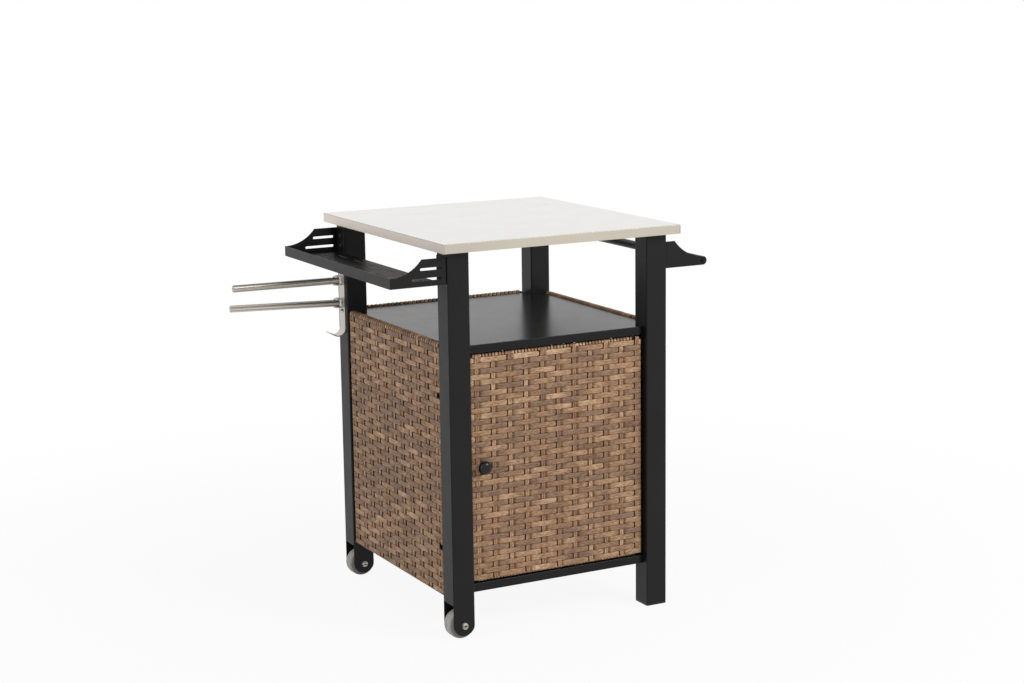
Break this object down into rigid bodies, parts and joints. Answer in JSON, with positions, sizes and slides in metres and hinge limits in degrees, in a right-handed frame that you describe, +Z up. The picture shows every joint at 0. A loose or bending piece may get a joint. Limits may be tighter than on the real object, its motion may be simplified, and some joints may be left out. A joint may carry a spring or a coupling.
{
  "type": "outdoor kitchen cart",
  "caption": "Outdoor kitchen cart with a stainless top, black steel legs, wicker cabinet with a hinged door, spice tray, towel rail, swivel arms, hook and wheels.",
  "frame": {"origin": "on the floor, at the middle of the cart's overall width and depth with the arms and rail", "axes": "+X to the cart's right (towel rail), -Y its front (door), +Z up"},
  "size_m": [0.8929, 0.6346, 0.852],
  "materials": {
    "stainless_top": "bright satin stainless sheet",
    "polished_steel": "polished stainless",
    "zinc_steel": "zinc plated",
    "black_coat": "satin black powder coat",
    "wicker": "woven synthetic rattan, mixed brown",
    "black_plastic": "moulded black plastic",
    "grey_rubber": "grey rubber tread"
  },
  "bodies": {
    "cart": {"arm_brackets": "polished_steel", "arm_pins": "polished_steel", "axle_bolts": "polished_steel", "axle_nuts": "zinc_steel", "bar_screws": "black_coat", "bottom_shelf": "black_coat", "bottom_shelf_screws": "zinc_steel", "door_pins": "zinc_steel", "door_spacers": "black_plastic", "foot_front_right": "black_plastic", "foot_rear_right": "black_plastic", "left_panel_frame": "black_coat", "left_panel_weave": "wicker", "leg_front_left": "black_coat", "leg_front_right": "black_coat", "leg_rear_left": "black_coat", "leg_rear_right": "black_coat", "magnet_catch": "black_plastic", "mid_shelf": "black_coat", "mid_shelf_screws": "zinc_steel", "panel_bolts": "zinc_steel", "rack_screws": "polished_steel", "rack_strip": "polished_steel", "rail_bracket_front": "black_coat", "rail_bracket_rear": "black_coat", "rail_screws": "black_coat", "rear_panel_frame": "black_coat", "rear_panel_weave": "wicker", "right_panel_frame": "black_coat", "right_panel_weave": "wicker", "spice_tray": "black_coat", "tabletop": "stainless_top", "top_nuts": "zinc_steel", "top_plates": "black_coat", "top_stiffeners": "stainless_top", "towel_bar": "black_coat", "tray_bracket_front": "black_coat", "tray_bracket_rear": "black_coat", "tray_screws": "black_coat"},
    "door": {"door_frame": "black_coat", "door_weave": "wicker", "door_knob": "black_plastic", "knob_screw": "zinc_steel", "striker_plate": "zinc_steel"},
    "wheel_front": {"tyre_front": "grey_rubber", "hub_front": "black_plastic"},
    "wheel_rear": {"tyre_rear": "grey_rubber", "hub_rear": "black_plastic"},
    "arm_upper": {"swivel_arm_upper": "polished_steel"},
    "arm_lower": {"swivel_arm_lower": "polished_steel"}
  },
  "joints": [
    {"name": "door_swing", "type": "hinge", "parent": "cart", "child": "door", "pos_m": [0.26981, -0.261, 0.36325], "axis": [0, 0, 1], "range_deg": [0, 105]},
    {"name": "wheel_front_spin", "type": "hinge", "parent": "cart", "child": "wheel_front", "pos_m": [-0.16219, -0.261, 0.031], "axis": [0, 1, 0], "continuous": true},
    {"name": "wheel_rear_spin", "type": "hinge", "parent": "cart", "child": "wheel_rear", "pos_m": [-0.16219, 0.261, 0.031], "axis": [0, 1, 0], "continuous": true},
    {"name": "arm_upper_swivel", "type": "hinge", "parent": "cart", "child": "arm_upper", "pos_m": [-0.20069, 0.261, 0.7015], "axis": [0, 0, 1], "range_deg": [-86.8, 93.2]},
    {"name": "arm_lower_swivel", "type": "hinge", "parent": "cart", "child": "arm_lower", "pos_m": [-0.20069, 0.261, 0.6495], "axis": [0, 0, 1], "range_deg": [-77, 103]}
  ]
}
